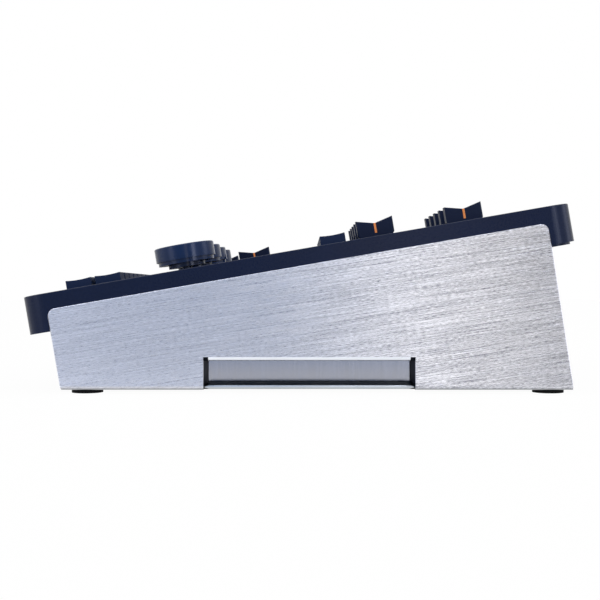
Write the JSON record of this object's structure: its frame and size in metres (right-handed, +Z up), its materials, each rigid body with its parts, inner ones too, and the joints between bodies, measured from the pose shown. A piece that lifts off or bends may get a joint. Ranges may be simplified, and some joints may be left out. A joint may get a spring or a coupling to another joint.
{
  "type": "audio mixing console",
  "caption": "Sloped tabletop mixing console with side panels, hand grips, fader caps, keys, encoder knobs and rear sockets.",
  "frame": {"origin": "on the surface the feet stand on, under the middle of the console's outline", "axes": "+X to the console's right-hand side, +Y to its back, +Z up"},
  "size_m": [0.42, 0.3585, 0.1255],
  "materials": {
    "side_metal": "brushed along the slope",
    "cover_paint": "semi-matt dark navy coating",
    "tray_metal": "black coating with bare lower edges",
    "grip_metal": "black walls with a grey back plate",
    "foot_rubber": "matt",
    "rear_metal": "fine textured dark coating",
    "circuit_board": "solder mask",
    "component_black": "moulded",
    "display_glass": "polished window",
    "supply_case": "plain case",
    "socket_metal": "plated",
    "socket_black": "moulded",
    "rocker_black": "polished",
    "screw_steel": "blackened",
    "key_plastic": "satin moulded",
    "cap_plastic": "satin moulded with an orange pointer line",
    "knob_plastic": "satin turned"
  },
  "bodies": {
    "chassis": {"right_side_panel": "side_metal", "left_side_panel": "side_metal", "top_cover": "cover_paint", "rear_closing_strip": "cover_paint", "base_tray": "tray_metal", "right_grip_cup": "grip_metal", "left_grip_cup": "grip_metal", "feet": "foot_rubber", "rear_panel": "rear_metal", "control_board": "circuit_board", "audio_board": "circuit_board", "fader_tracks": "component_black", "encoder_bodies": "component_black", "key_switches": "component_black", "display_module": "display_glass", "power_supply": "supply_case", "rca_sockets": "socket_metal", "xlr_sockets": "socket_black", "mains_inlet": "socket_black", "phones_jack": "socket_black", "panel_screws": "screw_steel"},
    "key_a_1": {"key_a_1": "key_plastic"},
    "key_a_2": {"key_a_2": "key_plastic"},
    "key_a_3": {"key_a_3": "key_plastic"},
    "key_a_4": {"key_a_4": "key_plastic"},
    "key_a_5": {"key_a_5": "key_plastic"},
    "key_a_6": {"key_a_6": "key_plastic"},
    "key_a_7": {"key_a_7": "key_plastic"},
    "key_a_8": {"key_a_8": "key_plastic"},
    "key_b_1": {"key_b_1": "key_plastic"},
    "key_b_2": {"key_b_2": "key_plastic"},
    "key_b_3": {"key_b_3": "key_plastic"},
    "key_b_4": {"key_b_4": "key_plastic"},
    "key_b_5": {"key_b_5": "key_plastic"},
    "key_b_6": {"key_b_6": "key_plastic"},
    "key_b_7": {"key_b_7": "key_plastic"},
    "key_b_8": {"key_b_8": "key_plastic"},
    "key_mid_1": {"key_mid_1": "key_plastic"},
    "key_mid_2": {"key_mid_2": "key_plastic"},
    "key_mid_3": {"key_mid_3": "key_plastic"},
    "key_mid_4": {"key_mid_4": "key_plastic"},
    "key_mid_5": {"key_mid_5": "key_plastic"},
    "fader_mid_1": {"fader_mid_1": "cap_plastic"},
    "fader_mid_2": {"fader_mid_2": "cap_plastic"},
    "fader_mid_3": {"fader_mid_3": "cap_plastic"},
    "fader_mid_4": {"fader_mid_4": "cap_plastic"},
    "fader_mid_5": {"fader_mid_5": "cap_plastic"},
    "fader_back_1": {"fader_back_1": "cap_plastic"},
    "fader_back_2": {"fader_back_2": "cap_plastic"},
    "fader_back_3": {"fader_back_3": "cap_plastic"},
    "fader_back_4": {"fader_back_4": "cap_plastic"},
    "fader_back_5": {"fader_back_5": "cap_plastic"},
    "booth_fader": {"booth_fader": "cap_plastic"},
    "master_fader": {"master_fader": "cap_plastic"},
    "crossfader": {"crossfader": "cap_plastic"},
    "encoder_knob_1": {"encoder_knob_1": "knob_plastic"},
    "encoder_knob_2": {"encoder_knob_2": "knob_plastic"},
    "encoder_knob_3": {"encoder_knob_3": "knob_plastic"},
    "encoder_knob_4": {"encoder_knob_4": "knob_plastic"},
    "power_rocker": {"power_rocker": "rocker_black"}
  },
  "joints": [
    {"name": "fader_mid_1_slide", "type": "slide", "parent": "chassis", "child": "fader_mid_1", "axis": [0, 0.9854, 0.1702], "range_m": [0, 0.03]},
    {"name": "fader_mid_2_slide", "type": "slide", "parent": "chassis", "child": "fader_mid_2", "axis": [0, 0.9854, 0.1702], "range_m": [0, 0.03]},
    {"name": "fader_mid_3_slide", "type": "slide", "parent": "chassis", "child": "fader_mid_3", "axis": [0, 0.9854, 0.1702], "range_m": [0, 0.03]},
    {"name": "fader_mid_4_slide", "type": "slide", "parent": "chassis", "child": "fader_mid_4", "axis": [0, 0.9854, 0.1702], "range_m": [0, 0.03]},
    {"name": "fader_mid_5_slide", "type": "slide", "parent": "chassis", "child": "fader_mid_5", "axis": [0, 0.9854, 0.1702], "range_m": [0, 0.03]},
    {"name": "fader_back_1_slide", "type": "slide", "parent": "chassis", "child": "fader_back_1", "axis": [0, 0.9854, 0.1702], "range_m": [0, 0.03]},
    {"name": "fader_back_2_slide", "type": "slide", "parent": "chassis", "child": "fader_back_2", "axis": [0, 0.9854, 0.1702], "range_m": [0, 0.03]},
    {"name": "fader_back_3_slide", "type": "slide", "parent": "chassis", "child": "fader_back_3", "axis": [0, 0.9854, 0.1702], "range_m": [0, 0.03]},
    {"name": "fader_back_4_slide", "type": "slide", "parent": "chassis", "child": "fader_back_4", "axis": [0, 0.9854, 0.1702], "range_m": [0, 0.03]},
    {"name": "fader_back_5_slide", "type": "slide", "parent": "chassis", "child": "fader_back_5", "axis": [0, 0.9854, 0.1702], "range_m": [0, 0.03]},
    {"name": "booth_fader_slide", "type": "slide", "parent": "chassis", "child": "booth_fader", "axis": [0, 0.9854, 0.1702], "range_m": [0, 0.03]},
    {"name": "master_fader_slide", "type": "slide", "parent": "chassis", "child": "master_fader", "axis": [0, 0.9854, 0.1702], "range_m": [0, 0.06]},
    {"name": "crossfader_slide", "type": "slide", "parent": "chassis", "child": "crossfader", "axis": [1, 0, 0], "range_m": [0, 0.045]},
    {"name": "encoder_knob_1_turn", "type": "hinge", "parent": "chassis", "child": "encoder_knob_1", "pos_m": [0.1685, -0.07548, 0.0796], "axis": [0, -0.1702, 0.9854], "continuous": true},
    {"name": "encoder_knob_2_turn", "type": "hinge", "parent": "chassis", "child": "encoder_knob_2", "pos_m": [0.1125, -0.07548, 0.0796], "axis": [0, -0.1702, 0.9854], "continuous": true},
    {"name": "encoder_knob_3_turn", "type": "hinge", "parent": "chassis", "child": "encoder_knob_3", "pos_m": [0.0565, -0.07548, 0.0796], "axis": [0, -0.1702, 0.9854], "continuous": true},
    {"name": "encoder_knob_4_turn", "type": "hinge", "parent": "chassis", "child": "encoder_knob_4", "pos_m": [0.0005, -0.07548, 0.0796], "axis": [0, -0.1702, 0.9854], "continuous": true},
    {"name": "power_rocker_tilt", "type": "hinge", "parent": "chassis", "child": "power_rocker", "pos_m": [-0.134, 0.15621, 0.04937], "axis": [1, 0, 0], "range_deg": [-16, 0]},
    {"name": "key_a_1_press", "type": "slide", "parent": "chassis", "child": "key_a_1", "axis": [0, 0.1702, -0.9854], "range_m": [0, 0.0015], "stiffness_N_per_m": 400},
    {"name": "key_a_2_press", "type": "slide", "parent": "chassis", "child": "key_a_2", "axis": [0, 0.1702, -0.9854], "range_m": [0, 0.0015], "stiffness_N_per_m": 400},
    {"name": "key_a_3_press", "type": "slide", "parent": "chassis", "child": "key_a_3", "axis": [0, 0.1702, -0.9854], "range_m": [0, 0.0015], "stiffness_N_per_m": 400},
    {"name": "key_a_4_press", "type": "slide", "parent": "chassis", "child": "key_a_4", "axis": [0, 0.1702, -0.9854], "range_m": [0, 0.0015], "stiffness_N_per_m": 400},
    {"name": "key_a_5_press", "type": "slide", "parent": "chassis", "child": "key_a_5", "axis": [0, 0.1702, -0.9854], "range_m": [0, 0.0015], "stiffness_N_per_m": 400},
    {"name": "key_a_6_press", "type": "slide", "parent": "chassis", "child": "key_a_6", "axis": [0, 0.1702, -0.9854], "range_m": [0, 0.0015], "stiffness_N_per_m": 400},
    {"name": "key_a_7_press", "type": "slide", "parent": "chassis", "child": "key_a_7", "axis": [0, 0.1702, -0.9854], "range_m": [0, 0.0015], "stiffness_N_per_m": 400},
    {"name": "key_a_8_press", "type": "slide", "parent": "chassis", "child": "key_a_8", "axis": [0, 0.1702, -0.9854], "range_m": [0, 0.0015], "stiffness_N_per_m": 400},
    {"name": "key_b_1_press", "type": "slide", "parent": "chassis", "child": "key_b_1", "axis": [0, 0.1702, -0.9854], "range_m": [0, 0.0015], "stiffness_N_per_m": 400},
    {"name": "key_b_2_press", "type": "slide", "parent": "chassis", "child": "key_b_2", "axis": [0, 0.1702, -0.9854], "range_m": [0, 0.0015], "stiffness_N_per_m": 400},
    {"name": "key_b_3_press", "type": "slide", "parent": "chassis", "child": "key_b_3", "axis": [0, 0.1702, -0.9854], "range_m": [0, 0.0015], "stiffness_N_per_m": 400},
    {"name": "key_b_4_press", "type": "slide", "parent": "chassis", "child": "key_b_4", "axis": [0, 0.1702, -0.9854], "range_m": [0, 0.0015], "stiffness_N_per_m": 400},
    {"name": "key_b_5_press", "type": "slide", "parent": "chassis", "child": "key_b_5", "axis": [0, 0.1702, -0.9854], "range_m": [0, 0.0015], "stiffness_N_per_m": 400},
    {"name": "key_b_6_press", "type": "slide", "parent": "chassis", "child": "key_b_6", "axis": [0, 0.1702, -0.9854], "range_m": [0, 0.0015], "stiffness_N_per_m": 400},
    {"name": "key_b_7_press", "type": "slide", "parent": "chassis", "child": "key_b_7", "axis": [0, 0.1702, -0.9854], "range_m": [0, 0.0015], "stiffness_N_per_m": 400},
    {"name": "key_b_8_press", "type": "slide", "parent": "chassis", "child": "key_b_8", "axis": [0, 0.1702, -0.9854], "range_m": [0, 0.0015], "stiffness_N_per_m": 400},
    {"name": "key_mid_1_press", "type": "slide", "parent": "chassis", "child": "key_mid_1", "axis": [0, 0.1702, -0.9854], "range_m": [0, 0.0015], "stiffness_N_per_m": 400},
    {"name": "key_mid_2_press", "type": "slide", "parent": "chassis", "child": "key_mid_2", "axis": [0, 0.1702, -0.9854], "range_m": [0, 0.0015], "stiffness_N_per_m": 400},
    {"name": "key_mid_3_press", "type": "slide", "parent": "chassis", "child": "key_mid_3", "axis": [0, 0.1702, -0.9854], "range_m": [0, 0.0015], "stiffness_N_per_m": 400},
    {"name": "key_mid_4_press", "type": "slide", "parent": "chassis", "child": "key_mid_4", "axis": [0, 0.1702, -0.9854], "range_m": [0, 0.0015], "stiffness_N_per_m": 400},
    {"name": "key_mid_5_press", "type": "slide", "parent": "chassis", "child": "key_mid_5", "axis": [0, 0.1702, -0.9854], "range_m": [0, 0.0015], "stiffness_N_per_m": 400}
  ]
}
